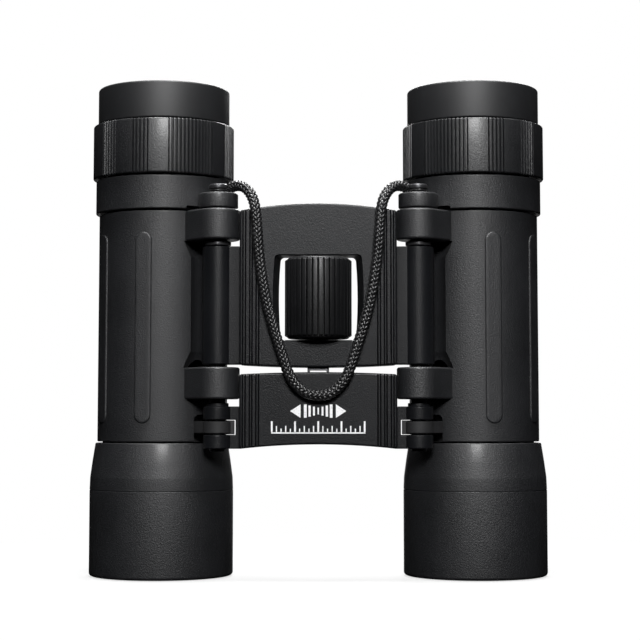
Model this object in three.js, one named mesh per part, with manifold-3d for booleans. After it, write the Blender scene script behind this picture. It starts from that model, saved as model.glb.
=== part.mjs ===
// Compact folding binoculars with two hinges, in millimetres, +Z up, standing on the
// objective ends. The front, with the focus wheel and the strap cord, faces -Y.
//
// The upper bridge carries two hinge pins. Each tube swings on its pin, so both fold in
// behind the bridge. The focus wheel drives the lower bridge along Z, and two knuckles on
// each end of it take the arm of an objective cell, which slides inside its tube.

import * as THREE from "three";
import { mergeVertices } from "three/addons/utils/BufferGeometryUtils.js";
import Module from "manifold-3d";

const wasm = await Module();
wasm.setup();

// ---------------------------------------------------------------- driving dimensions

const gap = 0.3;                 // clearance between neighbouring pieces
const tubeX = 36.1;              // half the distance between the two tube axes
const hingeX = 22.5;             // hinge pins, half their distance
const hingeY = -14.1;            // and how far they stand in front of the tube axes

const height = 112;              // objective rim to eyecup rim
const barrelTop = 30.2;
const tubeBottom = barrelTop + gap;
const tubeTop = 82.5;
const collarTop = 90.5;
const gripBottom = 90.85;
const gripTop = 103.3;

const tubeRadius = 14.8;
const tubeBore = 12.6;
const padRadius = 15.15;
const collarRadius = 15.6;
const gripRadius = 16.32;
const eyecupRadius = 15.25;
const barrelRadius = 16.46;
const barrelNeckRadius = 15.2;
const barrelBore = 14.0;
const sleeveRadius = 12.9;       // fixed sleeve that the grip ring turns on
const eyepieceBore = 11.6;

const plateHalfWidth = 17.2;     // bridge plates
const plateFront = -18.2;
const plateBack = -12.4;
const upperPlate = { bottomEnd: 47.56, bottomMid: 47.0, topEnd: 82.0, topMid: 83.6 };
const lowerPlate = { bottomEnd: 29.0, bottomMid: 30.0, topEnd: 45.5, topMid: 45.95 };
const windowHalfWidth = 9.3;
const windowBottom = 53.0;
const windowTop = 72.4;

const pinRadius = 1.8;
const pinBore = 2.1;
const pinBottom = 28.4;
const lugRadius = 4.95;
const upperLug = [75.6, tubeTop];
const lowerLug = [40.0, 47.1];
const sleeveSpan = [47.7, 74.1];
const hingeSleeveRadius = 3.5;
const channelRadius = 6.3;       // trough in the tube beside the hinge sleeve
const knuckleRadius = 3.04;
const upperKnuckle = [35.4, 38.4];
const lowerKnuckle = [29.0, 32.1];
const knuckleBoss = { radius: 2.85, top: 39.15 };
const webReach = 18.4;           // the web between the two knuckles goes this far out
const armSpan = [32.4, 35.1];    // arm of the objective cell, between the two knuckles
const armHalfWidth = 2.2;
const capRadius = 4.14;
const capSpan = [83.2, 86.2];
const nubRadius = 1.9;

const wheelY = -15.2;
const wheelRadius = 7.48;
const wheelSpan = [53.4, 71.5];
const wheelRibs = 36;
const screwRadius = 1.2;
const screwBottom = 47.4;
const screwTop = 76.2;

const cordDiameter = 2.5;

// ---------------------------------------------------------------- looks

const looks = {
  body: { color: 0x2a2b2e, roughness: 0.55, metalness: 0.0 },
  plate: { color: 0x26272a, roughness: 0.5, metalness: 0.0 },
  grip: { color: 0x242528, roughness: 0.6, metalness: 0.0 },
  rubber: { color: 0x17181a, roughness: 0.8, metalness: 0.0 },
  wheel: { color: 0x1d1e20, roughness: 0.6, metalness: 0.0 },
  steel: { color: 0x34353a, roughness: 0.35, metalness: 0.9 },
  cell: { color: 0x141416, roughness: 0.7, metalness: 0.0 },
  glass: { color: 0xbfd8e6, roughness: 0.05, metalness: 0.0, transparent: true, opacity: 0.35 },
  cord: { color: 0x1b1b1d, roughness: 0.9, metalness: 0.0 },
};

// ---------------------------------------------------------------- helpers

// Merges shared corners, drops empty triangles and turns the faces outwards.
function closed(geometry) {
  const bare = geometry.index ? geometry.toNonIndexed() : geometry.clone();
  bare.deleteAttribute("normal");
  bare.deleteAttribute("uv");
  const merged = mergeVertices(bare, 1e-4);
  const position = merged.attributes.position;
  const [a, b, c] = [new THREE.Vector3(), new THREE.Vector3(), new THREE.Vector3()];
  const kept = [];
  let volume = 0;
  for (let i = 0; i < merged.index.count; i += 3) {
    const corners = [0, 1, 2].map((k) => merged.index.getX(i + k));
    if (new Set(corners).size < 3) continue;
    kept.push(corners);
    [a, b, c].forEach((v, k) => v.fromBufferAttribute(position, corners[k]));
    volume += a.dot(b.clone().cross(c));
  }
  if (volume < 0) kept.forEach((corners) => corners.reverse());
  merged.setIndex(kept.flat());
  return merged;
}

function toSolid(geometry) {
  const mesh = closed(geometry);
  return new wasm.Manifold(new wasm.Mesh({
    numProp: 3,
    vertProperties: Float32Array.from(mesh.attributes.position.array),
    triVerts: Uint32Array.from(mesh.index.array),
  }));
}

function toGeometry(solid) {
  const mesh = solid.getMesh();
  const geometry = new THREE.BufferGeometry();
  geometry.setAttribute("position", new THREE.BufferAttribute(mesh.vertProperties, 3));
  geometry.setIndex(new THREE.BufferAttribute(mesh.triVerts, 1));
  geometry.computeVertexNormals();
  return geometry;
}

// Turns a profile of [radius, height] pairs about Z. A profile that doesn't touch the axis
// is closed on itself.
function turned(profile, segments = 40) {
  const points = profile.map(([r, z]) => new THREE.Vector2(r, z));
  const onAxis = profile[0][0] === 0 && profile.at(-1)[0] === 0;
  if (!onAxis) points.push(points[0].clone());
  return closed(new THREE.LatheGeometry(points, segments).rotateX(Math.PI / 2));
}

function ring(outer, inner, [low, high], segments) {
  return turned([[inner, low], [outer, low], [outer, high], [inner, high]], segments);
}

function rod(radius, [low, high], segments) {
  return turned([[0, low], [radius, low], [radius, high], [0, high]], segments);
}

function shapeOf(points) {
  return new THREE.Shape(points.map(([x, y]) => new THREE.Vector2(x, y)));
}

// An outline in X and Y, raised from low to high.
function raised(shape, [low, high], curveSegments = 12) {
  const options = { depth: high - low, bevelEnabled: false, curveSegments };
  return closed(new THREE.ExtrudeGeometry(shape, options).translate(0, 0, low));
}

// An outline in X and Z, running from the front face to the back face along Y.
function upright(shape, [front, back], curveSegments = 12) {
  const options = { depth: back - front, bevelEnabled: false, curveSegments };
  const geometry = new THREE.ExtrudeGeometry(shape, options).rotateX(Math.PI / 2);
  return closed(geometry.translate(0, back, 0));
}

function block([x0, x1], [y0, y1], [z0, z1]) {
  const geometry = new THREE.BoxGeometry(x1 - x0, y1 - y0, z1 - z0);
  return closed(geometry.translate((x0 + x1) / 2, (y0 + y1) / 2, (z0 + z1) / 2));
}

function joined(first, ...rest) {
  return rest.reduce((solid, next) => solid.add(toSolid(next)), toSolid(first));
}

function without(solid, ...cutters) {
  return cutters.reduce((left, cutter) => left.subtract(toSolid(cutter)), solid);
}

function at(geometry, x, y, z = 0) {
  return geometry.clone().translate(x, y, z);
}

const binoculars = new THREE.Group();

function addPart(group, name, geometry, look) {
  const mesh = new THREE.Mesh(geometry, new THREE.MeshStandardMaterial(looks[look]));
  mesh.name = name;
  mesh.geometry.computeVertexNormals();
  group.add(mesh);
}

// ---------------------------------------------------------------- bridge

// A plate with straight ends and gently arched long edges.
function plateOutline({ bottomEnd, bottomMid, topEnd, topMid }) {
  const steps = 8;
  const points = [];
  for (let i = 0; i <= steps; i++) {
    const t = (2 * i) / steps - 1;
    points.push([t * plateHalfWidth, bottomMid + (bottomEnd - bottomMid) * t * t]);
  }
  for (let i = steps; i >= 0; i--) {
    const t = (2 * i) / steps - 1;
    points.push([t * plateHalfWidth, topMid + (topEnd - topMid) * t * t]);
  }
  return shapeOf(points);
}

const bridge = new THREE.Group();
binoculars.add(bridge);

const forkHalfWidth = 2.4;
const forkLegInner = 1.85;
const forkHeadBottom = 46.4;
const forkDepth = [-17.1, -13.3];
const forkPocket = [forkDepth[0] - gap, forkDepth[1] + gap];
const coverSpan = [74.6, 80.8];
const coverHalfWidth = 13.8;
const coverThickness = 1.0;
const screwHoles = [-11, 11];
const coverScrewRadius = 1.2;
const coverScrewZ = (coverSpan[0] + coverSpan[1]) / 2;

// A plate without its back corners, so that the lugs can swing past them.
function plateBody(shape) {
  const corners = [-1, 1].map((side) => raised(shapeOf([
    [side * (plateHalfWidth + 0.1), -14.4], [side * (plateHalfWidth + 0.1), plateBack + 0.1],
    [side * (plateHalfWidth - 0.95), plateBack + 0.1],
  ]), [20, 90]));
  const plate = toSolid(upright(plateOutline(shape), [plateFront, plateBack]));
  return without(plate, ...corners);
}

function backScrew(x, radius, [front, back]) {
  const geometry = rod(radius, [0, back - front], 16).rotateX(Math.PI / 2);
  return geometry.translate(x, back, coverScrewZ);
}

{
  const pieces = [];
  const bores = [];
  for (const side of [-1, 1]) {
    const inner = side * (plateHalfWidth - 0.4);
    const outer = side * (hingeX - 2.2);
    pieces.push(at(rod(hingeSleeveRadius, sleeveSpan, 28), side * hingeX, hingeY));
    pieces.push(block([Math.min(inner, outer), Math.max(inner, outer)], [-16.4, plateBack], sleeveSpan));
    bores.push(at(rod(pinBore, [sleeveSpan[0] - 1, sleeveSpan[1] + 1], 24), side * hingeX, hingeY));
  }
  const pocket = [coverHalfWidth + gap, coverSpan[0] - gap, coverSpan[1] + gap];
  const body = without(
    pieces.reduce((solid, piece) => solid.add(toSolid(piece)), plateBody(upperPlate)),
    block([-windowHalfWidth, windowHalfWidth], [plateFront - 1, plateBack + 1],
      [windowBottom, windowTop]),
    block([-forkHalfWidth - gap, forkHalfWidth + gap], forkPocket, [46, windowBottom + 0.5]),
    at(rod(screwRadius + gap, [windowTop - 0.5, screwTop + gap], 20), 0, wheelY),
    block([-pocket[0], pocket[0]], [plateBack - coverThickness - gap, plateBack + 1],
      [pocket[1], pocket[2]]),
    ...screwHoles.map((x) => backScrew(x, coverScrewRadius + gap, [-15.8, plateBack + 1])),
    ...bores,
  );
  addPart(bridge, "upper_bridge", toGeometry(body), "plate");

  const cover = without(
    joined(block([-coverHalfWidth, coverHalfWidth], [plateBack - coverThickness, plateBack],
      coverSpan)),
    ...screwHoles.map((x) => backScrew(x, coverScrewRadius + gap, [-15.8, plateBack + 1])),
  );
  addPart(bridge, "back_cover", toGeometry(cover), "plate");
  screwHoles.forEach((x, i) => {
    addPart(bridge, `cover_screw_${i + 1}`,
      backScrew(x, coverScrewRadius, [-15.5, plateBack]), "steel");
  });
}

// Hinge pins with a round head over the upper lug, and a small loop that ties the cord on.
for (const [word, side] of [["left", -1], ["right", 1]]) {
  const hinge = new THREE.Group();
  hinge.position.set(side * hingeX, hingeY, 0);
  bridge.add(hinge);
  const neck = capSpan[1] + 0.3;
  addPart(hinge, `${word}_hinge_pin`, turned([
    [0, pinBottom], [pinRadius - 0.4, pinBottom], [pinRadius, pinBottom + 0.4],
    [pinRadius, neck], [1.2, neck], [1.2, neck + 0.8], [nubRadius, neck + 0.8],
    [nubRadius, neck + 1.3], [nubRadius - 0.6, neck + 1.7], [0, neck + 1.85],
  ], 24), "steel");
  addPart(hinge, `${word}_hinge_cap`, turned([
    [pinBore, capSpan[0]], [capRadius, capSpan[0]], [capRadius, capSpan[1] - 0.6],
    [capRadius - 0.5, capSpan[1]], [pinBore, capSpan[1]],
  ], 32), "body");
  addPart(hinge, `${word}_hinge_washer`,
    ring(2.9, pinBore, [sleeveSpan[1] + gap, upperLug[0] - gap], 24), "steel");
  const loop = new THREE.TorusGeometry(1.85, 0.27, 5, 18);
  addPart(hinge, `${word}_cord_loop`, closed(loop.translate(0, 0, neck + 0.4)), "cord");
}

// ---------------------------------------------------------------- strap cord

// Right half of the cord, from the pin head over the bridge and down to the middle.
const cordHalf = [
  [19.75, -14.15, 87.55], [18.3, -15.5, 87.82], [16.9, -16.95, 87.45], [15.62, -18.12, 86.35],
  [14.68, -18.98, 84.75], [14.12, -19.5, 82.9], [13.78, -19.75, 80.3], [13.55, -19.88, 77],
  [13.2, -19.9, 72.6], [12.68, -19.9, 68.4], [12, -19.9, 64.3], [11.15, -19.9, 60.2],
  [10.05, -19.9, 56.2], [8.85, -19.9, 52.4], [7.7, -19.9, 48.9], [6.6, -19.9, 45.8],
  [5.3, -19.9, 43.5], [3.7, -19.9, 41.95], [1.95, -19.9, 41.02],
];
const cordPath = new THREE.CatmullRomCurve3([
  ...cordHalf.map(([x, y, z]) => new THREE.Vector3(-x, y, z)),
  new THREE.Vector3(0, -19.9, 40.75),
  ...[...cordHalf].reverse().map(([x, y, z]) => new THREE.Vector3(x, y, z)),
], false, "centripetal");

const cordSection = new THREE.Shape();
for (let i = 0; i <= 8; i++) {
  const angle = (2 * Math.PI * (i + 0.5)) / 8;
  const [x, y] = [Math.cos(angle), Math.sin(angle)].map((v) => (v * cordDiameter) / 2);
  if (i === 0) cordSection.moveTo(x, y);
  else cordSection.lineTo(x, y);
}
addPart(bridge, "strap_cord", closed(new THREE.ExtrudeGeometry(cordSection, {
  steps: 30, extrudePath: cordPath, bevelEnabled: false,
})), "cord");

// ---------------------------------------------------------------- focus drive

const focus = new THREE.Group();
focus.position.set(0, wheelY, 0);
binoculars.add(focus);

{
  const points = [];
  for (let i = 0; i < wheelRibs; i++) {
    for (const [part, depth] of [[-0.28, 0], [0.28, 0], [0.5, 0.45]]) {
      const angle = (2 * Math.PI * (i + part)) / wheelRibs;
      const r = wheelRadius - depth;
      points.push([Math.cos(angle) * r, Math.sin(angle) * r]);
    }
  }
  const [low, high] = wheelSpan;
  const ends = turned([[0, low], [wheelRadius - 0.9, low], [wheelRadius + 0.05, low + 1.1],
    [wheelRadius + 0.05, high - 1.1], [wheelRadius - 0.9, high], [0, high]], 36);
  const wheel = without(
    toSolid(raised(shapeOf(points), wheelSpan)).intersect(toSolid(ends)),
    rod(screwRadius + gap, [low - 1, high + 1], 20),
  );
  addPart(focus, "focus_wheel", toGeometry(wheel), "wheel");
  addPart(focus, "focus_screw", turned([
    [0, screwBottom], [screwRadius - 0.3, screwBottom], [screwRadius, screwBottom + 0.4],
    [screwRadius, screwTop], [0, screwTop],
  ], 20), "steel");
}

const lower = new THREE.Group();
binoculars.add(lower);

{
  const forkSpan = [43.0, 51.7];
  const pieces = [];
  const bores = [];
  for (const side of [-1, 1]) {
    for (const span of [upperKnuckle, lowerKnuckle]) {
      const inner = side * (plateHalfWidth - 0.4);
      const outer = side * (hingeX - 2.0);
      pieces.push(at(rod(knuckleRadius, span, 24), side * hingeX, hingeY));
      pieces.push(block([Math.min(inner, outer), Math.max(inner, outer)], [-16.4, plateBack], span));
    }
    const web = [plateHalfWidth - 0.4, webReach].map((x) => side * x).sort((a, b) => a - b);
    pieces.push(block(web, [-16.4, plateBack], [lowerKnuckle[0], upperKnuckle[1]]));
    pieces.push(at(rod(knuckleBoss.radius, [upperKnuckle[1] - 0.5, knuckleBoss.top], 24),
      side * hingeX, hingeY));
    bores.push(at(rod(pinBore, [27, 40], 24), side * hingeX, hingeY));
  }
  const body = without(
    pieces.reduce((solid, piece) => solid.add(toSolid(piece)), plateBody(lowerPlate)),
    block([-forkHalfWidth - gap, forkHalfWidth + gap], forkPocket, [forkSpan[0] - gap, 47]),
    ...bores,
  );
  addPart(lower, "lower_bridge", toGeometry(body), "plate");

  // The fork stands in the lower bridge, and its head is the nut on the focus screw.
  const outline = shapeOf([[-forkHalfWidth, forkSpan[0]], [forkHalfWidth, forkSpan[0]],
    [forkHalfWidth, forkSpan[1]], [-forkHalfWidth, forkSpan[1]]]);
  const eye = new THREE.Path([[-forkLegInner, 45.5], [-forkLegInner, forkHeadBottom],
    [forkLegInner, forkHeadBottom], [forkLegInner, 45.5]].map(([x, z]) => new THREE.Vector2(x, z)));
  outline.holes.push(eye);
  const fork = without(
    joined(upright(outline, forkDepth)),
    at(rod(screwRadius + gap, [46, 53], 20), 0, wheelY),
  );
  addPart(lower, "focus_fork", toGeometry(fork), "steel");
}

// ---------------------------------------------------------------- one tube and its optics

const groupAngle = Math.PI / 6;  // the grip ring has a group of grooves every 30 degrees

function gripOutline(side) {
  const points = [];
  const pitch = THREE.MathUtils.degToRad(5);
  for (let group = 0; group < 12; group++) {
    const middle = THREE.MathUtils.degToRad(-14) + group * groupAngle;
    for (const groove of [-1, 0, 1]) {
      for (const [edge, depth] of [[-0.3, 0], [0, 0.4], [0.3, 0]]) {
        const azimuth = middle + (groove + edge) * pitch;
        const r = gripRadius - depth;
        points.push([-side * Math.sin(azimuth) * r, -Math.cos(azimuth) * r]);
      }
    }
  }
  return shapeOf(points);
}

const padAzimuths = [-12.4, -60.4, -108.4, -156.4, 155.6, 107.6];
const padHalfWidth = 1.95;
const padSpan = [34.6, 77.6];

function padSolid(side, azimuth) {
  const [low, high] = padSpan;
  const outline = new THREE.Shape();
  outline.absarc(0, high - padHalfWidth, padHalfWidth, 0, Math.PI, false);
  outline.absarc(0, low + padHalfWidth, padHalfWidth, Math.PI, 2 * Math.PI, false);
  const bar = upright(outline, [-16.2, -13.9], 4);
  bar.rotateZ(-side * THREE.MathUtils.degToRad(azimuth));
  return toSolid(bar).intersect(toSolid(ring(padRadius, 14.3, [low - 1, high + 1], 40)));
}

function lensSurface(radius, edge, rise, outward) {
  // Three points from the rim to the axis on a shallow cap.
  return [1, 0.55, 0].map((t) => [radius * t, edge + outward * rise * (1 - t * t)]);
}

function lens(radius, [low, high], lowRise, highRise, segments = 20) {
  const bottom = lensSurface(radius, low, lowRise, -1).reverse();
  const top = lensSurface(radius, high, highRise, 1);
  return turned([...bottom, ...top], segments);
}

function addTube(word, side) {
  const tube = new THREE.Group();
  tube.position.set(side * tubeX, 0, 0);
  binoculars.add(tube);

  // The hinge axis seen from the tube axis, with the direction to it and across it.
  const hinge = new THREE.Vector2(-side * (tubeX - hingeX), hingeY);
  const reach = hinge.length();
  const turn = Math.atan2(hinge.y, hinge.x);
  const toHinge = (geometry) => geometry.rotateZ(turn);
  const hingeRod = (radius, span, segments) => at(rod(radius, span, segments), hinge.x, hinge.y);

  // Tube with its two hinge lugs, the trough beside the hinge sleeve, the slot for the
  // objective arm and the raised pads.
  let body = without(
    toSolid(turned([
      [tubeBore, 26], [barrelBore - 0.4, 26], [barrelBore - 0.4, tubeBottom],
      [tubeRadius, tubeBottom], [tubeRadius, tubeTop], [tubeBore, tubeTop],
    ])),
    hingeRod(channelRadius, [lowerLug[1], upperLug[0]], 32),
    toHinge(block([11, 16], [-armHalfWidth - 0.4, armHalfWidth + 0.4], [tubeBottom, 36.6])),
  );
  for (const span of [upperLug, lowerLug]) {
    const arm = toHinge(block([13.5, reach], [-lugRadius, lugRadius], span));
    body = body.add(toSolid(arm)).add(toSolid(hingeRod(lugRadius, span, 32)));
  }
  for (const azimuth of padAzimuths) body = body.add(padSolid(side, azimuth));
  body = without(body, hingeRod(pinBore, [38, 84], 24));
  addPart(tube, `${word}_tube`, toGeometry(body), "body");

  addPart(tube, `${word}_objective_barrel`, turned([
    [barrelBore, 0.4], [barrelBore + 0.4, 0], [barrelRadius - 0.6, 0], [barrelRadius, 0.7],
    [barrelRadius, 19.0], [barrelRadius - 0.18, 22.5], [barrelRadius - 0.65, 26.2],
    [barrelNeckRadius, barrelTop], [barrelBore, barrelTop],
  ]), "body");

  const housing = without(
    toSolid(turned([
      [eyepieceBore, 76], [tubeBore - gap, 76], [tubeBore - gap, tubeTop + gap],
      [collarRadius, tubeTop + gap], [collarRadius, collarTop], [sleeveRadius, collarTop],
      [sleeveRadius, 101], [eyepieceBore, 101],
    ])),
    hingeRod(capRadius + 0.55, [tubeTop - 1, capSpan[1] + 0.4], 32),
  );
  addPart(tube, `${word}_eyepiece_housing`, toGeometry(housing), "body");

  // Erecting prisms in a cage that is open along the light path.
  const cageSpan = [49, 73];
  const cage = without(
    joined(rod(tubeBore - gap, cageSpan, 32)),
    block([-8, 8], [-7.6, 7.6], [cageSpan[0] + 2, cageSpan[1] - 2]),
    rod(6.8, [cageSpan[0] - 1, cageSpan[1] + 1], 24),
  );
  addPart(tube, `${word}_prism_cage`, toGeometry(cage), "cell");
  const firstPrism = shapeOf([[-7.6, 51.4], [7.6, 51.4], [7.6, 55.4], [-0.5, 61.6], [-7.6, 57.8]]);
  const secondPrism = shapeOf([[-7.6, 70.6], [-7.6, 58.6], [-0.4, 62.4], [7.6, 56.3], [7.6, 70.6]]);
  addPart(tube, `${word}_prism_1`, upright(firstPrism, [-7.3, 7.3]), "glass");
  addPart(tube, `${word}_prism_2`, upright(secondPrism, [-7.3, 7.3]), "glass");

  // Objective cell with the arm that reaches out to the lower bridge.
  let cell = toSolid(turned([
    [11.2, 38], [11.2, 19.5], [12.9, 19.5], [12.9, 9], [barrelBore - 0.4, 9],
    [barrelBore - 0.4, 22.5], [tubeBore - 0.4, 24], [tubeBore - 0.4, 38],
  ], 32));
  cell = cell.add(toSolid(toHinge(block([11.6, reach], [-armHalfWidth, armHalfWidth], armSpan))));
  cell = cell.add(toSolid(hingeRod(3.0, armSpan, 24)));
  cell = without(cell, hingeRod(pinBore, [armSpan[0] - 1, armSpan[1] + 1], 24));
  addPart(tube, `${word}_objective_cell`, toGeometry(cell), "cell");
  addPart(tube, `${word}_objective_crown`, lens(12.6, [13.4, 15.4], 1.3, -0.0), "glass");
  addPart(tube, `${word}_objective_flint`, lens(12.6, [15.7, 19.2], 0.0, -1.0), "glass");
  addPart(tube, `${word}_objective_ring`, ring(12.6, 11.6, [11.0, 13.0], 32), "cell");

  // Eyepiece cell with its two lenses and their retaining rings.
  addPart(tube, `${word}_eyepiece_cell`, turned([
    [8.6, 84], [eyepieceBore - gap, 84], [eyepieceBore - gap, 103.4], [9.4, 103.4],
    [9.4, 98.4], [8.6, 98.4],
  ], 32), "cell");
  addPart(tube, `${word}_field_lens`, lens(8.3, [87.2, 89.2], 0.9, 0.9), "glass");
  addPart(tube, `${word}_field_lens_ring`, ring(8.3, 7.4, [84.6, 86.8], 20), "cell");
  addPart(tube, `${word}_eye_lens`, lens(9.1, [98.8, 101.0], 0.0, 1.2), "glass");
  addPart(tube, `${word}_eye_lens_ring`, ring(9.1, 8.3, [101.4, 103.2], 24), "cell");

  // Grip ring round the housing sleeve, and the rubber eyecup on its neck.
  const grip = without(
    joined(raised(gripOutline(side), [gripBottom, gripTop]), rod(13.6, [gripTop - 2, 106.5], 28)),
    rod(sleeveRadius + gap, [gripBottom - 1, 101.6], 28),
    rod(12.0, [100, 108], 28),
  );
  addPart(tube, `${word}_grip_ring`, toGeometry(grip), "grip");
  addPart(tube, `${word}_eyecup`, turned([
    [13.9, gripTop + gap], [eyecupRadius, gripTop + gap],
    [eyecupRadius, height - 1.4], [eyecupRadius - 0.5, height - 0.3], [eyecupRadius - 1.2, height],
    [13.2, height - 0.3], [12.9, 106.8], [13.9, 106.8],
  ], 36), "rubber");
}

addTube("left", -1);
addTube("right", 1);

// Centres the object from front to back. The strap cord and its loops don't count.
const extent = new THREE.Box3();
binoculars.updateMatrixWorld(true);
binoculars.traverse((item) => {
  if (item.isMesh && !item.name.includes("cord")) extent.expandByObject(item);
});
binoculars.position.y = -(extent.min.y + extent.max.y) / 2;
binoculars.updateMatrixWorld(true);

export default binoculars;
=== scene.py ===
import math
import bpy
import bmesh
from mathutils import Matrix, Vector


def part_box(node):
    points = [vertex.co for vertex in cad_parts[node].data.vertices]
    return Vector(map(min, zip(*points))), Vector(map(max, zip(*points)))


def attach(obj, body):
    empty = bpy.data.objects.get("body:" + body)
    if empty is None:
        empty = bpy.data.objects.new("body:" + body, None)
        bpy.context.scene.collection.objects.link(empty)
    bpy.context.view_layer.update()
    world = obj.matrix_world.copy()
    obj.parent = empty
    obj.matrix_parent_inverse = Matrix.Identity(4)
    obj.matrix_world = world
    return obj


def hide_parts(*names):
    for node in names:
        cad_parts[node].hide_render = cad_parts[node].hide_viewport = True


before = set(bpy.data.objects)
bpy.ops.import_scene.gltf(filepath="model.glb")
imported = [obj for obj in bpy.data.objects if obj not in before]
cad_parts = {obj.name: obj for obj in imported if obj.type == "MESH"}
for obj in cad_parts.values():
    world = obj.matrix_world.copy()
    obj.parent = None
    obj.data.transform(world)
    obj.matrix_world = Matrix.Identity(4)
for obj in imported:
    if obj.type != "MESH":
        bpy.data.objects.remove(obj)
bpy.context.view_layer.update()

mm = 0.001


def middle(node):
    low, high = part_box(node)
    return [(low[i] + high[i]) / 2 for i in range(3)]


# Where things are, in millimetres, read from the frame.
sides = {"left": -1, "right": 1}
tubeAxis = {w: [v / mm for v in middle(f"{w}_objective_barrel")[:2]] for w in sides}
hingeAxis = {w: [v / mm for v in middle(f"{w}_hinge_cap")[:2]] for w in sides}
wheelAxis = [v / mm for v in middle("focus_wheel")[:2]]
depthShift = tubeAxis["left"][1]  # the tube axes' own Y in this frame


# ---- camera

camera = {"focal": 97.4, "pitch": 4.62, "height": 35.4, "distance": 401.5, "side": 0.39, "shift": -0.0625}
cameraData = bpy.data.cameras.new("camera")
cameraData.lens = camera["focal"]
cameraData.sensor_width = 36
cameraData.shift_y = camera["shift"]
cameraData.clip_start, cameraData.clip_end = 0.01, 20
cameraObject = bpy.data.objects.new("camera", cameraData)
cameraObject.location = (camera["side"] * mm, (depthShift - camera["distance"]) * mm, camera["height"] * mm)
cameraObject.rotation_euler = (math.radians(90 + camera["pitch"]), 0, 0)
bpy.context.collection.objects.link(cameraObject)
bpy.context.scene.camera = cameraObject
print("camera placed")


# ---- materials

class Wire:
    # A node socket that can be used in sums.
    def __init__(self, look, socket):
        self.look, self.socket = look, socket

    def sum(self, operation, first, second):
        return self.look.node("ShaderNodeMath", {"operation": operation}, {0: first, 1: second})

    def __add__(self, other):
        return self.sum("ADD", self, other)

    __radd__ = __add__

    def __sub__(self, other):
        return self.sum("SUBTRACT", self, other)

    def __rsub__(self, other):
        return self.sum("SUBTRACT", other, self)

    def __mul__(self, other):
        return self.sum("MULTIPLY", self, other)

    __rmul__ = __mul__

    def __pow__(self, other):
        return self.sum("POWER", self, other)


class Look:
    # The nodes of a new material, or of whatever else is handed in.
    def __init__(self, name, owner=None):
        self.material = owner or bpy.data.materials.new(name)
        self.material.use_nodes = True
        self.tree = self.material.node_tree
        self.tree.nodes.clear()

    def node(self, kind, settings=None, sockets=None, output=0):
        made = self.tree.nodes.new(kind)
        for key, value in (settings or {}).items():
            if key == "stops":
                for i, (place, colour) in enumerate(value):
                    stop = made.color_ramp.elements[i] if i < 2 else made.color_ramp.elements.new(place)
                    stop.position, stop.color = place, (*colour, 1)
            else:
                setattr(made, key, value)
        for key, value in (sockets or {}).items():
            if isinstance(value, Wire):
                self.tree.links.new(value.socket, made.inputs[key])
            else:
                made.inputs[key].default_value = value
        return Wire(self, made.outputs[output]) if made.outputs else None

    def place(self):
        return self.node("ShaderNodeTexCoord", output="Object")

    def noise(self, scale, detail=3, rough=0.55, vector=None):
        return self.node("ShaderNodeTexNoise", {}, {
            "Vector": vector or self.place(), "Scale": scale, "Detail": detail, "Roughness": rough})

    def blend(self, factor, first, second):
        return self.node("ShaderNodeMix", {"data_type": "RGBA"}, {
            0: factor, 6: (*first, 1) if isinstance(first, tuple) else first,
            7: (*second, 1) if isinstance(second, tuple) else second}, 2)

    def span(self, value, low, high, bottom=0.0, top=1.0):
        return self.node("ShaderNodeMapRange", {"clamp": True}, {
            "Value": value, "From Min": low, "From Max": high, "To Min": bottom, "To Max": top})

    def bump(self, height, strength, distance, normal=None):
        sockets = {"Height": height, "Strength": strength, "Distance": distance}
        if normal:
            sockets["Normal"] = normal
        return self.node("ShaderNodeBump", {}, sockets)

    def shade(self, **sockets):
        named = {key.replace("_", " "): value for key, value in sockets.items()}
        shader = self.node("ShaderNodeBsdfPrincipled", {}, named)
        self.node("ShaderNodeOutputMaterial", {}, {"Surface": shader})
        return self.material


def mouldedPlastic(name, dark, light, rough, grain, depth, worn=0.25, gloss=0.5, coat=0.2):
    look = Look(name)
    fine = look.noise(grain, 2, 0.65)
    cloud = look.noise(90, 4, 0.6)
    point = look.node("ShaderNodeNewGeometry", output="Pointiness")
    # Convex edges turn lighter and less rough. This is partly edge wear and partly a painted highlight along the
    # rims; worn sets how strong it is.
    rubbedEdgeAndHighlight = look.span(point, 0.52, 0.58) * look.span(look.noise(700, 4), 0.38, 0.58) * worn
    # Painted shade: concave spots turn near black, rougher and lose their coat.
    paintedCreviceShade = look.span(point, 0.4, 0.485, 1.0, 0.0)
    speck = look.span(fine, 0.35, 0.68)
    colour = look.blend(look.span(cloud, 0.35, 0.65) * 0.4 + speck * 0.6, dark, light)
    # edge wear and painted highlight on the rims
    colour = look.blend(rubbedEdgeAndHighlight, colour, (0.16, 0.162, 0.17))
    # painted shade in the crevices
    colour = look.blend(paintedCreviceShade, colour, (0.0006, 0.0006, 0.0007))
    roughness = rough + (cloud - 0.5) * 0.12 + (fine - 0.5) * 0.3 - rubbedEdgeAndHighlight * 0.15 + paintedCreviceShade * 0.4
    return look.shade(Base_Color=colour, Roughness=roughness, Specular_IOR_Level=gloss,
                      Coat_Weight=coat - paintedCreviceShade * coat, Coat_Roughness=0.22, Normal=look.bump(fine, depth, 0.0001))


def softRubber(name):
    look = Look(name)
    fine = look.noise(5200, 3, 0.65)
    dust = look.span(look.noise(240, 5, 0.7), 0.5, 0.75)
    colour = look.blend(dust * 0.3, (0.0075, 0.0078, 0.0088), (0.017, 0.0175, 0.019))
    return look.shade(Base_Color=colour, Roughness=0.56 + (fine - 0.5) * 0.14,
                      Specular_IOR_Level=0.5, Normal=look.bump(fine, 0.3, 0.00004))


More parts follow.
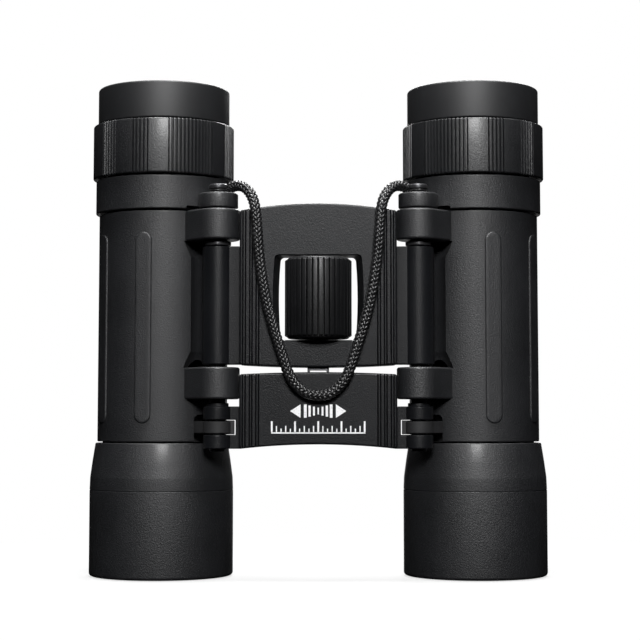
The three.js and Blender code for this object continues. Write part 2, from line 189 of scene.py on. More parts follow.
def blackSteel(name):
    look = Look(name)
    turnedMarks = look.node("ShaderNodeTexNoise", {}, {
        "Vector": look.node("ShaderNodeMapping", {}, {"Vector": look.place(), "Scale": (300, 300, 9000)}),
        "Scale": 1.0, "Detail": 2.0})
    worn = look.span(look.node("ShaderNodeNewGeometry", output="Pointiness"), 0.52, 0.6)
    colour = look.blend(worn * 0.5, (0.035, 0.035, 0.038), (0.3, 0.3, 0.31))
    return look.shade(Base_Color=colour, Metallic=0.6 + worn * 0.4, Roughness=0.32 + turnedMarks * 0.14,
                      Normal=look.bump(turnedMarks, 0.12, 0.00002))


def dullBlack(name):
    look = Look(name)
    fine = look.noise(3000, 3)
    colour = look.blend(look.span(look.noise(300, 4), 0.3, 0.7), (0.008, 0.008, 0.009), (0.014, 0.014, 0.015))
    return look.shade(Base_Color=colour, Roughness=0.6 + fine * 0.2, Normal=look.bump(fine, 0.2, 0.00003))


def coatedGlass(name, tint, bloom):
    look = Look(name)
    patch = look.span(look.noise(40, 2), 0.3, 0.7)
    smear = look.span(look.noise(160, 4, 0.6), 0.45, 0.8)
    colour = look.blend(patch * 0.4 + 0.1, tint, bloom)
    return look.shade(Base_Color=colour, Roughness=0.02 + smear * 0.05, Transmission_Weight=0.85,
                      IOR=1.52, Coat_Weight=0.4, Coat_Roughness=0.03, Coat_Tint=(*bloom, 1))


def braidFibre(name):
    look = Look(name)
    thread = look.noise(6500, 2, 0.5)
    patch = look.span(look.noise(900, 3), 0.4, 0.65)
    colour = look.blend(patch, (0.004, 0.004, 0.0044), (0.014, 0.014, 0.0148))
    return look.shade(Base_Color=colour, Roughness=0.38 + (thread - 0.5) * 0.25, Specular_IOR_Level=0.6,
                      Normal=look.bump(thread, 0.4, 0.00005))


def whitePrint(name):
    look = Look(name)
    speckle = look.span(look.noise(4200, 3), 0.3, 0.42)
    colour = look.blend(speckle, (0.55, 0.55, 0.56), (0.86, 0.86, 0.87))
    return look.shade(Base_Color=colour, Roughness=0.5 + speckle * 0.1)


looks = {
    "body": mouldedPlastic("tubePlastic", (0.005, 0.0053, 0.0062), (0.011, 0.0115, 0.0132), 0.53, 3800, 1.0, 0.08),
    "plate": mouldedPlastic("bridgePlastic", (0.0045, 0.0048, 0.0057), (0.0078, 0.0083, 0.0096),
                            0.4, 3600, 0.6, 0, 0.17, 0.1),
    "grip": mouldedPlastic("gripPlastic", (0.005, 0.0053, 0.006), (0.01, 0.0105, 0.012), 0.48, 3000, 0.7, 0),
    "wheel": mouldedPlastic("wheelPlastic", (0.003, 0.0031, 0.0035), (0.0058, 0.006, 0.0067),
                            0.46, 3200, 0.5, 0, 0.25, 0.12),
    "rubber": softRubber("eyecupRubber"),
    "steel": blackSteel("blackSteel"),
    "cell": dullBlack("cellBlack"),
    "glass": coatedGlass("coatedGlass", (0.75, 0.86, 0.84), (0.25, 0.62, 0.42)),
    "cord": braidFibre("cordBraid"),
    "print": whitePrint("whitePrint"),
}
print("materials made")


# ---- mesh making, in millimetres

def rounded(corners, steps=5):
    # A closed outline of (x, y, radius) corners with each corner turned into an arc.
    points = []
    for i, (x, y, radius) in enumerate(corners):
        here = Vector((x, y))
        if radius <= 0:
            points.append((x, y))
            continue
        back, ahead = (Vector(corners[j][:2]) - here for j in (i - 1, (i + 1) % len(corners)))
        u, v = back.normalized(), ahead.normalized()
        half = math.acos(max(-1, min(1, u.dot(v)))) / 2
        if half > math.pi / 2 - 0.01:
            points.append((x, y))
            continue
        cut = min(radius / math.tan(half), back.length * 0.49, ahead.length * 0.49)
        arc = cut * math.tan(half)
        centre = here + (u + v).normalized() * (arc / math.sin(half))
        start, end = here + u * cut - centre, here + v * cut - centre
        a, b = math.atan2(start.y, start.x), math.atan2(end.y, end.x)
        sweep = (b - a + math.pi) % (2 * math.pi) - math.pi
        for k in range(steps + 1):
            angle = a + sweep * k / steps
            points.append((centre.x + arc * math.cos(angle), centre.y + arc * math.sin(angle)))
    return points


def loft(loops, capped=True, endless=False):
    # Joins equal closed loops of points, either capped or joined end to end.
    count = len(loops[0])
    verts = [p for loop in loops for p in loop]
    faces = []
    rows = len(loops) if endless else len(loops) - 1
    for j in range(rows):
        a, b = j * count, ((j + 1) % len(loops)) * count
        for i in range(count):
            k = (i + 1) % count
            faces.append((a + i, a + k, b + k, b + i))
    if capped and not endless:
        faces.append(tuple(reversed(range(count))))
        faces.append(tuple(range((len(loops) - 1) * count, len(loops) * count)))
    return verts, faces


def turned(profile, centre=(0, 0), segments=192, swell=None):
    # A closed profile of (radius, height) about a vertical axis. swell changes the radius round it.
    loops = []
    for s in range(segments):
        angle = 2 * math.pi * s / segments
        c, d = math.cos(angle), math.sin(angle)
        loop = []
        for r, z in profile:
            q = r + (swell(r, z, angle) if swell else 0)
            loop.append((centre[0] + q * c, centre[1] + q * d, z))
        loops.append(loop)
    return loft(loops, endless=True)


def spun(profile, centre=(0, 0), segments=96):
    # A profile that starts and ends on the axis.
    rings = [(r, z) for r, z in profile if r > 1e-6]
    loops = [[(centre[0] + r * math.cos(2 * math.pi * s / segments),
               centre[1] + r * math.sin(2 * math.pi * s / segments), z) for s in range(segments)]
             for r, z in rings]
    verts, faces = loft(loops, capped=False)
    count = len(loops)
    verts += [(centre[0], centre[1], profile[0][1]), (centre[0], centre[1], profile[-1][1])]
    low, high = count * segments, count * segments + 1
    for s in range(segments):
        t = (s + 1) % segments
        faces.append((low, t, s))
        faces.append((high, (count - 1) * segments + s, (count - 1) * segments + t))
    return verts, faces


def makeObject(name, shape):
    verts, faces = shape
    mesh = bpy.data.meshes.new(name)
    mesh.from_pydata([Vector(v) * mm for v in verts], [], faces)
    work = bmesh.new()
    work.from_mesh(mesh)
    bmesh.ops.recalc_face_normals(work, faces=work.faces)
    work.to_mesh(mesh)
    work.free()
    made = bpy.data.objects.new(name, mesh)
    bpy.context.collection.objects.link(made)
    return made


def merged(*shapes):
    # Several closed shapes that don't touch, as one.
    verts, faces = [], []
    for v, f in shapes:
        base = len(verts)
        verts += v
        faces += [tuple(base + i for i in face) for face in f]
    return verts, faces


def work(target, operation, *shapes):
    # Joins shapes to the object, or cuts them from it, one after another.
    for shape in shapes:
        tool = makeObject("tool", shape)
        change = target.modifiers.new("change", "BOOLEAN")
        change.object, change.operation, change.solver = tool, operation, "MANIFOLD"
        bpy.context.view_layer.update()
        result = bpy.data.meshes.new_from_object(target.evaluated_get(bpy.context.evaluated_depsgraph_get()))
        target.modifiers.clear()
        target.data = result
        bpy.data.objects.remove(tool)
    return target


def settle(piece, look, body, stands=(), sharp=30, weighted=False):
    # Gives a piece its finish, its shading and the body that it rides on.
    piece.data.materials.clear()
    piece.data.materials.append(looks[look])
    for face in piece.data.polygons:
        face.use_smooth = True
    piece.data.set_sharp_from_angle(angle=math.radians(sharp))
    if weighted:
        even = piece.modifiers.new("even", "WEIGHTED_NORMAL")
        even.keep_sharp = True
    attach(piece, body)
    "plate" if look == "print" else look
    if stands:
        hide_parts(*stands)
    return piece


def place(name, shape, look, body, *stands, sharp=30):
    return settle(makeObject(name, shape), look, body, stands, sharp)


def rod(centre, radius, low, high, edge=0.0, segments=64):
    corners = [(0, low, 0), (radius, low, edge), (radius, high, edge), (0, high, 0)]
    return spun(rounded(corners, 4), centre, segments)


def slab(outline, low, high, edge, steps=4):
    # An outline that takes an inset, raised along Z with rounded rims.
    loops = []
    for k in range(steps, -1, -1):
        t = math.pi / 2 * k / steps
        loops.append([(x, y, low + edge * (1 - math.sin(t))) for x, y in outline(edge * (1 - math.cos(t)))])
    top = [[(x, y, high - (z - low)) for x, y, z in loop] for loop in reversed(loops)]
    return loft(loops + top)


def standing(shape):
    # Turns a slab raised along Z so that it is raised along Y, front first.
    verts, faces = shape
    return [(x, z, y) for x, y, z in verts], faces


def boxOutline(x0, x1, y0, y1, corner):
    def outline(inset):
        left, right, front, back = x0 + inset, x1 - inset, y0 + inset, y1 - inset
        r = max(corner - inset, 0.02)
        return rounded([(left, front, r), (right, front, r), (right, back, r), (left, back, r)], 4)
    return outline


# ---- strap cord

cordSettings = {
    "diameter": 2.5, "strands": 8, "ribbon": (0.27, 0.16), "over": 0.17, "pitch": 8.0, "step": 0.14,
    "half": [
        (19.75, -14.15, 87.55), (18.3, -15.5, 87.82), (16.9, -16.95, 87.45), (15.62, -18.12, 86.35),
        (14.68, -18.98, 84.75), (14.12, -19.5, 82.9), (13.78, -19.75, 80.3), (13.55, -19.88, 77),
        (13.2, -19.9, 72.6), (12.68, -19.9, 68.4), (12, -19.9, 64.3), (11.15, -19.9, 60.2),
        (10.05, -19.9, 56.2), (8.85, -19.9, 52.4), (7.7, -19.9, 48.9), (6.6, -19.9, 45.8),
        (5.3, -19.9, 43.5), (3.7, -19.9, 41.95), (1.95, -19.9, 41.02)],
    "lowest": (0, -19.9, 40.75),
}


def smoothLine(points, step):
    # A centripetal curve through the points, with an even step.
    first = points[0] * 2 - points[1]
    last = points[-1] * 2 - points[-2]
    chain = [first, *points, last]
    fine = []
    for i in range(1, len(chain) - 2):
        p = chain[i - 1:i + 3]
        knots = [0.0]
        for a, b in zip(p, p[1:]):
            knots.append(knots[-1] + max((b - a).length, 1e-9) ** 0.5)
        for k in range(24):
            t = knots[1] + (knots[2] - knots[1]) * k / 24
            level = [a * ((knots[j + 1] - t) / (knots[j + 1] - knots[j]))
                     + b * ((t - knots[j]) / (knots[j + 1] - knots[j])) for j, (a, b) in enumerate(zip(p, p[1:]))]
            level = [a * ((knots[j + 2] - t) / (knots[j + 2] - knots[j]))
                     + b * ((t - knots[j]) / (knots[j + 2] - knots[j]))
                     for j, (a, b) in enumerate(zip(level, level[1:]))]
            fine.append(level[0] * ((knots[2] - t) / (knots[2] - knots[1]))
                        + level[1] * ((t - knots[1]) / (knots[2] - knots[1])))
    fine.append(points[-1])
    even, carried = [fine[0]], 0.0
    for a, b in zip(fine, fine[1:]):
        gone = (b - a).length
        while carried + gone >= step:
            share = (step - carried) / gone
            a = a.lerp(b, share)
            gone = (b - a).length
            carried = 0.0
            even.append(a)
        carried += gone
    even.append(fine[-1])
    return even


def travelling(line):
    # A frame at each point of the line that turns as little as it can.
    frames = []
    across = Vector((0, 1, 0))
    for i, point in enumerate(line):
        ahead = (line[min(i + 1, len(line) - 1)] - line[max(i - 1, 0)]).normalized()
        across = (across - ahead * across.dot(ahead)).normalized()
        frames.append((point, across, ahead.cross(across)))
    return frames


def braid(s):
    half = [Vector((x, y + depthShift, z)) for x, y, z in s["half"]]
    left = [Vector((-p.x, p.y, p.z)) for p in half]
    x, y, z = s["lowest"]
    route = left + [Vector((x, y + depthShift, z))] + half[::-1]
    radius = s["diameter"] / 2 - s["ribbon"][1] - s["over"]
    line = smoothLine(route, s["step"])
    frames = travelling(line)
    lean = math.atan(2 * math.pi * radius / s["pitch"])
    shapes = []
    for direction in (1, -1):
        for strand in range(s["strands"]):
            loops = []
            for i, (point, across, side) in enumerate(frames):
                phi = 2 * math.pi * ((strand + 0.25) / s["strands"] + direction * i * s["step"] / s["pitch"])
                wave = direction * math.cos(s["strands"] / 2 * phi)
                lift = radius + s["over"] * wave
                out = across * math.cos(phi) + side * math.sin(phi)
                around = side * math.cos(phi) - across * math.sin(phi)
                wide = around * math.cos(lean) - across.cross(side) * direction * math.sin(lean)
                centre = point + out * lift
                full = 1 + 0.12 * wave
                width, thickness = s["ribbon"]
                loops.append([tuple(centre + wide * width * full * math.cos(a) + out * thickness * math.sin(a))
                              for a in (2 * math.pi * k / 8 for k in range(8))])
            shapes.append(loft(loops))
    core = [[tuple(point + (across * math.cos(a) + side * math.sin(a)) * (radius - 0.12))
             for a in (2 * math.pi * k / 16 for k in range(16))] for point, across, side in frames[::3]]
    shapes.append(loft(core))
    return merged(*shapes), line


cordShape, cordLine = braid(cordSettings)
strapCord = place("strapCord", cordShape, "cord", "bridge", "strap_cord", sharp=60)
cordLength = sum((b - a).length for a, b in zip(cordLine, cordLine[1:])) * mm
for word in sides:
    low, high = (v[2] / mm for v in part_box(f"{word}_cord_loop"))
    height, thread = (low + high) / 2, (high - low) / 2
    ringProfile = [(1.85 + thread * math.cos(a), height + thread * math.sin(a))
                   for a in (2 * math.pi * k / 12 for k in range(12))]
    place(f"{word}CordLoop", turned(ringProfile, hingeAxis[word], 72,
        lambda r, z, a: 0.035 * math.sin(26 * a + 9 * (z - height))), "cord", "bridge", f"{word}_cord_loop")
cordLine[0] * mm
[p * mm for p in cordLine[::4] + [cordLine[-1]]]
print("strap cord made", round(cordLength, 4))


# ---- bridge plates

plate = {"halfWidth": 17.5, "corners": 17.2, "front": -18.2, "back": -12.4, "edge": 0.45, "corner": 0.7,
         "upper": (47.56, 47.0, 82.0, 83.6), "lower": (29.0, 30.0, 45.5, 45.95)}
grooves = {"places": [13.19, 13.79, 14.67, 15.2, 16.15, 16.75], "half": 0.15, "depth": 1.1}
sleeve = {"radius": 3.5, "low": 47.7, "high": 74.1, "web": (-16.4, -12.4), "reach": 20.4}
window = {"front": (9.5, 53.05, 71.95), "back": (8.42, 53.2, 71.8), "bow": 0.42, "corner": 0.9, "flare": 0.22}
knuckle = {"radius": 3.18, "spans": [(35.4, 38.4), (29.0, 32.1)], "bore": 2.1, "boss": (2.5, 38.0, 39.15),
           "reach": 18.4, "web": (-15.3, -12.4)}
forkRoom = {"half": 2.7, "depth": (-17.4, -13.0), "upper": (46.0, 52.8), "lower": (42.7, 47)}
hair = 0.01  # the edge of a shape that only cuts
lugRoom, screwBore = 5.2, 1.5  # radii


def atDepth(depth):
    # A depth measured from the tubes' plane, in this frame.
    return depth + depthShift


front, back = atDepth(plate["front"]), atDepth(plate["back"])


def archedOutline(bottomEnd, bottomMid, topEnd, topMid, count=28):
    def outline(inset):
        wide = plate["halfWidth"] - inset
        corners = []
        for end, mid, lift, order in ((bottomEnd, bottomMid, inset, 1), (topEnd, topMid, -inset, -1)):
            for k in range(count + 1)[::order]:
                t = 2 * k / count - 1
                r = max(plate["corner"] - inset, 0.05) if k in (0, count) else 0
                corners.append((t * wide, mid + (end - mid) * t * t + lift, r))
        return rounded(corners, 5)
    return outline


def grooveCutters(low, high):
    h, d = grooves["half"], grooves["depth"]
    half = [(h + 0.1, -0.3), (h, 0.06), (h * 0.75, d * 0.85)]
    section = [(-x, z) for x, z in half[:1]] + half + [(0, d)] + [(-x, z) for x, z in half[:0:-1]]
    return merged(*[loft([[(side * x + a, front + b, z) for a, b in section] for z in (low, high)])
                    for side in (-1, 1) for x in grooves["places"]])


def windowCutter():
    loops = []
    flare = window["flare"]
    stations = [(front - 0.4, flare + 0.15, 0), (front + 0.02, flare * 0.8, 0), (front + 0.2, flare * 0.25, 0.02),
                (front + 0.5, 0, 0.06), (back - 0.3, 0, 1.0), (back + 0.02, flare, 1.0),
                (back + 0.5, flare * 2, 1.0)]
    for depth, spread, share in stations:
        w, low, high = (a + (b - a) * share for a, b in zip(window["front"], window["back"]))
        w, low, high = w + spread, low - spread, high + spread
        bowed = [(w + window["bow"] * (1 - t * t), (low + high) / 2 + t * (high - low) / 2)
                 for t in (-0.6, -0.3, 0, 0.3, 0.6)]
        corners = [(-w, low, window["corner"]), (w, low, window["corner"])] + [(x, z, 0) for x, z in bowed]
        corners += [(w, high, window["corner"]), (-w, high, window["corner"])]
        corners += [(-x, z, 0) for x, z in bowed[::-1]]
        loops.append([(x, depth, z) for x, z in rounded(corners, 4)])
    return loft(loops)


def box(x, depth, height, edge, corner=0.3):
    # A block with rounded upright corners and soft rims, from its spans along X, Y and Z.
    return slab(boxOutline(*sorted(x), *depth, corner), *height, edge)


def plateShape(outline):
    return standing(slab(outline, front, back, plate["edge"]))


def webBlocks(low, high, reach, web):
    inner = plate["halfWidth"] - 0.6
    return merged(*[box((side * inner, side * reach), map(atDepth, web), (low, high), 0.25) for side in (-1, 1)])


def backCorners():
    # What the lugs swing through at the back corners of the plates.
    w = plate["corners"]
    section = ((w + 0.6, back - 2.7), (w + 0.6, back + 0.4), (w - 1.05, back + 0.4), (w - 0.75, back - 0.25))
    return merged(*[loft([[(side * x, y, z) for x, y in section] for z in (20, 90)]) for side in (-1, 1)])


def hingeRods(radius, low, high, edge=0.0, segments=64):
    return merged(*[rod(hingeAxis[w], radius, low, high, edge, segments) for w in sides])


def forkCutter(span):
    return box((-forkRoom["half"], forkRoom["half"]), map(atDepth, forkRoom["depth"]), span, hair)


cover = {"halfWidth": 13.8, "low": 74.6, "high": 80.8, "thick": 1.0, "gap": 0.2, "corner": 0.9, "edge": 0.22,
         "screws": (-11, 11), "screwRadius": 1.2, "holeRadius": 1.45, "screwFront": -15.4, "cross": (0.8, 0.16)}
coverBox = boxOutline(-cover["halfWidth"], cover["halfWidth"], cover["low"], cover["high"], cover["corner"])
coverFront = back - cover["thick"]
grown = cover["halfWidth"] + cover["gap"]
coverRoom = boxOutline(-grown, grown, cover["low"] - cover["gap"], cover["high"] + cover["gap"], 1.0)

upper = makeObject("upperBridge", plateShape(archedOutline(*plate["upper"])))
work(upper, "DIFFERENCE", backCorners(), hingeRods(lugRoom, 75.3, 85, 0, 128))
work(upper, "UNION", webBlocks(sleeve["low"], sleeve["high"], sleeve["reach"], sleeve["web"]),
     hingeRods(sleeve["radius"], sleeve["low"], sleeve["high"], 0.3, 96))
work(upper, "DIFFERENCE", windowCutter(), grooveCutters(44, 86), forkCutter(forkRoom["upper"]),
     rod(wheelAxis, screwBore, 71, 76.5), standing(slab(coverRoom, coverFront - cover["gap"], back + 1, hair)),
     hingeRods(knuckle["bore"], 46, 76))
settle(upper, "plate", "bridge", ["upper_bridge"], 28, True)

lower = makeObject("lowerBridge", plateShape(archedOutline(*plate["lower"])))
work(lower, "DIFFERENCE", backCorners(), hingeRods(lugRoom, 39.7, 48, 0, 128))
work(lower, "UNION", webBlocks(29.05, 38.35, knuckle["reach"], knuckle["web"]))
for low, high in knuckle["spans"]:
    work(lower, "UNION", webBlocks(low, high, sleeve["reach"], knuckle["web"]),
         hingeRods(knuckle["radius"], low, high, 0.28, 96))
work(lower, "UNION", hingeRods(*knuckle["boss"], 0.2, 96))
work(lower, "DIFFERENCE", grooveCutters(27, 48), forkCutter(forkRoom["lower"]), hingeRods(knuckle["bore"], 27, 40))
settle(lower, "plate", "lower_bridge", ["lower_bridge"], 28, True)
print("bridge plates made")


def disc(x, z, radius):
    def outline(inset):
        return [(x + (radius - inset) * math.cos(a), z + (radius - inset) * math.sin(a))
                for a in (2 * math.pi * k / 40 for k in range(40))]
    return outline


coverPiece = makeObject("backCover", standing(slab(coverBox, coverFront, back, cover["edge"])))
coverMiddle = (cover["low"] + cover["high"]) / 2
work(coverPiece, "DIFFERENCE", merged(*[
    standing(slab(disc(x, coverMiddle, cover["holeRadius"]), atDepth(-15), atDepth(-11), hair))
    for x in cover["screws"]]))
settle(coverPiece, "plate", "bridge", ["back_cover"], 28, True)
for i, x in enumerate(cover["screws"]):
    head = disc(x, coverMiddle, cover["screwRadius"])
    screw = makeObject(f"coverScrew{i + 1}", standing(slab(head, atDepth(cover["screwFront"]), back - 0.05, 0.2)))
    for w, h in (cover["cross"], cover["cross"][::-1]):
        slot = boxOutline(x - w, x + w, coverMiddle - h, coverMiddle + h, 0.1)
        work(screw, "DIFFERENCE", standing(slab(slot, back - 0.7, back + 0.5, hair)))
    settle(screw, "steel", "bridge", [f"cover_screw_{i + 1}"])


# ---- hinge pins, caps and washers

pin = {"radius": 1.8, "bottom": 28.4, "neck": 86.5, "neckRadius": 1.5, "nub": 2.15, "top": 88.35}
cap = {"bore": 2.1, "radius": 4.45, "low": 82.8, "high": 86.2}
washer = {"bore": 2.1, "radius": 2.9, "low": 74.4, "high": 75.3}
for word in sides:
    axis, neck, thin, nub = hingeAxis[word], pin["neck"], pin["neckRadius"], pin["nub"]
    place(f"{word}HingePin", spun(rounded([
        (0, pin["bottom"], 0), (pin["radius"], pin["bottom"], 0.4), (pin["radius"], neck, 0.1), (thin, neck, 0),
        (thin, neck + 0.75, 0), (nub, neck + 0.8, 0.1), (nub, pin["top"], 0.55), (0, pin["top"], 0)], 6), axis, 96),
        "steel", "bridge", f"{word}_hinge_pin")
    place(f"{word}HingeCap", turned(rounded([
        (cap["bore"], cap["low"], 0), (cap["radius"], cap["low"], 0.3), (cap["radius"], cap["high"], 0.45),
        (cap["bore"], cap["high"], 0.1)], 5), axis, 128), "body", "bridge", f"{word}_hinge_cap")
    place(f"{word}HingeWasher", turned(rounded([
        (washer["bore"], washer["low"], 0.05), (washer["radius"], washer["low"], 0.15),
        (washer["radius"], washer["high"], 0.15), (washer["bore"], washer["high"], 0.05)], 3), axis, 72),
        "steel", "bridge", f"{word}_hinge_washer")
print("hinges made")


# ---- focus wheel, screw and fork

wheel = {"radius": 7.47, "low": 53.4, "high": 71.5, "ribs": 36, "depth": 0.9, "shoulder": 0.36, "core": 6.95,
         "hub": (5.0, 0.4), "land": (0.06, 0.1)}
ribSection = [0.0, 0.14, 0.26, 0.32, 0.35, 0.38, 0.41, 0.44, 0.5, 0.56, 0.59, 0.62, 0.65, 0.68, 0.74, 0.86]


def wheelShape():
    # Flat-topped ribs that run out on a smooth core, which shows as a disc at each end.
    w = wheel
    low, core = w["low"], w["core"]
    half = [(low, core - 0.5, 0.0), (low + 0.12, core - 0.2, 0.0), (low + 0.35, core, 0.0)]
    for k in range(7):
        t = k / 6
        r = core + (w["radius"] - core) * math.sin(t * math.pi / 2)
        half.append((low + 0.38 + w["shoulder"] * t, r, t ** 0.6))
    levels = half + [(low + w["high"] - z, r, share) for z, r, share in reversed(half)]
    loops = []
    for z, r, share in levels:
        loop = []
        for i in range(w["ribs"]):
            for s in ribSection:
                # 0 in the groove, 1 on the rib
                rib = min(1.0, max(0.0, (abs(s - 0.5) - w["land"][0]) / w["land"][1]))
                q = r - w["depth"] * share * (1 - rib * rib * (3 - 2 * rib))
                angle = 2 * math.pi * (i + s - 0.5) / w["ribs"] - math.pi / 2
                loop.append((wheelAxis[0] + q * math.cos(angle), wheelAxis[1] + q * math.sin(angle), z))
        loops.append(loop)
    return loft(loops)


hubRadius, hubDepth = wheel["hub"]
wheelPiece = makeObject("focusWheel", wheelShape())
work(wheelPiece, "DIFFERENCE", merged(rod(wheelAxis, hubRadius, 50, wheel["low"] + hubDepth),
                                      rod(wheelAxis, hubRadius, wheel["high"] - hubDepth, 76)),
     rod(wheelAxis, screwBore, 50, 76))
settle(wheelPiece, "wheel", "focus_drive", ["focus_wheel"], 40, False)

thread = [(0, 47.4), (0.9, 47.4)]
for k in range(60):
    z = 47.8 + k * 0.45
    thread += [(1.02, z), (1.2, z + 0.22)]
thread += [(1.05, 75.0), (1.2, 75.3), (1.2, 76.0), (1.0, 76.2), (0, 76.2)]
place("focusScrew", spun(thread, wheelAxis, 48), "steel", "focus_drive", "focus_screw")

forkOutline, forkEye = boxOutline(-2.4, 2.4, 43.0, 51.7, 0.3), boxOutline(-1.85, 1.85, 45.4, 46.4, 0.25)
fork = makeObject("focusFork", standing(slab(forkOutline, atDepth(-17.1), atDepth(-13.3), 0.15)))
work(fork, "DIFFERENCE", standing(slab(forkEye, atDepth(-18.5), atDepth(-12), hair)),
     rod(wheelAxis, screwBore, 46, 53))
settle(fork, "steel", "lower_bridge", ["focus_fork"])
print("focus drive made")


# ---- printed focus scale on the lower bridge

scale = {"thick": 0.03, "upperRow": (37.35, 1.5), "lowerRow": (33.75, 1.35), "halfWidth": 10.4, "arrow": (3.9, 6.2),
         "line": 0.14, "spread": 10.15}


def mark(points):
    return loft([[(x, depth, z) for x, z in points] for depth in (front - scale["thick"], front + scale["thick"])])


def bar(x, z, w, h):
    return mark([(x - w, z - h), (x + w, z - h), (x + w, z + h), (x - w, z + h)])


def scaleMarks():
    # Two arrows with a graded band between them, over a long scale of ticks.
    shapes = []
    z, h = scale["upperRow"]
    near, tip = scale["arrow"]
    for side in (-1, 1):
        points = [(side * tip, z), (side * near, z + h), (side * near, z - h)]
        shapes.append(mark(points if side < 0 else points[::-1]))
    shapes += [bar(k * 0.95, z, 0.16 + 0.05 * abs(k), h * (0.5 + 0.16 * abs(k))) for k in range(-3, 4)]
    z, h = scale["lowerRow"]
    line = scale["line"]
    shapes.append(bar(0, z - h + line, scale["halfWidth"], line))
    for k in range(-10, 11):
        tall, wide = (1.0, 0.2) if k % 5 == 0 else (0.62, 0.13) if k % 2 else (0.4, 0.13)
        top, bottom = z - h + 2 * h * tall, z - h + 0.36
        shapes.append(bar(k * scale["halfWidth"] / scale["spread"], (top + bottom) / 2, wide, (top - bottom) / 2))
    return merged(*shapes)


place("focusScaleMarks", scaleMarks(), "print", "lower_bridge")
print("scale printed")


# ---- tubes and their optics

tube = {"radius": 14.8, "bore": 12.6, "bottom": 30.5, "top": 82.5, "spigot": (13.6, 26.0)}
lug = {"radius": 4.95, "spans": [(75.6, 82.5), (40.0, 47.1)], "edge": 0.5, "foot": 13.45}
pad = {"azimuths": (-12.4, -60.4, -108.4, -156.4, 155.6, 107.6), "half": 1.93, "low": 34.6, "high": 77.6,
       "rise": 0.34, "soft": 0.42, "sunk": 0.06, "root": 14.0}
channel = {"radius": 6.3, "flare": 1.5, "run": 3.4}
slotBox = {"half": 2.6, "top": 36.6, "corner": 1.2, "reach": (11, 16)}
barrel = {"radius": 16.46, "seam": 19.5, "top": 30.2, "neck": 15.2, "bore": 14.0}
housing = {"bore": 11.6, "tail": 12.3, "radius": 15.6, "neck": 12.9, "low": 82.8, "high": 90.5, "notch": 4.74}
cell = {"bore": 11.2, "body": 12.2, "wide": 13.6, "low": 9.0, "high": 38.0, "arm": (32.4, 35.1), "boss": 3.18}
optics = {"crown": (12.6, 13.4, 15.4, 1.3, 0.0), "flint": (12.6, 15.7, 19.2, 0.0, -1.0),
          "field": (8.3, 87.2, 89.2, 0.9, 0.9), "eye": (9.1, 98.8, 101.0, 0.0, 1.2)}
grip = {"radius": 16.32, "low": 90.85, "high": 103.3, "pitch": 3.25, "depth": 0.6, "land": (0.24, 0.15),
        "groups": [(-53, -36.75), (-20.5, -7.5), (8.5, 47.5), (64, 80.25), (96, 112.25), (128, 144.25),
                   (160, 176.25), (192, 208.25), (224, 240.25), (256, 272.25)]}
cup = {"radius": 15.25, "low": 103.6, "high": 112.0}


def padShape(axis, side, azimuth):
    # A raised bar with round ends and soft edges, bent round the tube.
    turn = -side * math.radians(azimuth)
    lift = tube["radius"] - pad["sunk"]
    levels = [(0.0, pad["root"])]
    for k in range(6):
        t = math.pi / 2 * k / 5
        levels.append((pad["soft"] * (1 - math.cos(t)) * 0.9, lift + (pad["rise"] + pad["sunk"]) * math.sin(t)))
    levels.append((pad["half"] * 0.5, tube["radius"] + pad["rise"]))
    loops = []
    for inset, radius in levels:
        half = pad["half"] - inset
        outline = [(half * math.cos(start + math.pi * k / 16), end + half * math.sin(start + math.pi * k / 16))
                   for end, start in ((pad["high"] - pad["half"], 0), (pad["low"] + pad["half"], math.pi))
                   for k in range(17)]
        points = []
        for (x, z), (nextX, nextZ) in zip(outline, outline[1:] + outline[:1]):
            pieces = 8 if abs(nextZ - z) > 5 else 1  # the long sides are cut up
            for k in range(pieces):
                angle = -math.pi / 2 + (x + (nextX - x) * k / pieces) / tube["radius"] + turn
                points.append((axis[0] + radius * math.cos(angle), axis[1] + radius * math.sin(angle),
                               z + (nextZ - z) * k / pieces))
        loops.append(points)
    return loft(loops)


def channelCutter(word):
    c = channel
    low, high = lug["spans"][1][1] - 0.05, lug["spans"][0][0] + 0.05
    wide, narrow, run = c["radius"] + c["flare"], c["radius"] + 0.12, c["run"]
    return spun([(0, low), (wide, low), (narrow, low + run), (c["radius"], low + run + 0.4),
                 (c["radius"], high - run - 0.4), (narrow, high - run), (wide, high), (0, high)],
                hingeAxis[word], 160)


def lugOutline(word, grow=0.0):
    axis, hinge = Vector(tubeAxis[word]), Vector(hingeAxis[word])
    u = (hinge - axis).normalized()
    n = Vector((-u.y, u.x))

    def outline(inset):
        r = lug["radius"] + grow - inset
        base = math.atan2(n.y, n.x)
        turns = [base - math.pi * k / 32 for k in range(33)]
        inner = [axis + u * lug["foot"] + n * sign * r for sign in (-1, 1)]
        return [(hinge.x + r * math.cos(a), hinge.y + r * math.sin(a)) for a in turns] + [tuple(p) for p in inner]
    return outline


def towardsHinge(word, shape):
    # Turns a shape made along +X from the origin so that it points at the hinge.
    axis, hinge = Vector(tubeAxis[word]), Vector(hingeAxis[word])
    aim = Matrix.Translation((axis.x, axis.y, 0)) @ Matrix.Rotation(math.atan2(*(hinge - axis).yx), 4, "Z")
    return [tuple(aim @ Vector(v)) for v in shape[0]], shape[1]


def lensProfile(radius, low, high, lowRise, highRise, steps=14):
    bottom = [(radius * k / steps, low - lowRise * (1 - (k / steps) ** 2)) for k in range(steps + 1)]
    top = [(radius * (1 - k / steps), high + highRise * (1 - (1 - k / steps) ** 2)) for k in range(steps + 1)]
    return bottom + top


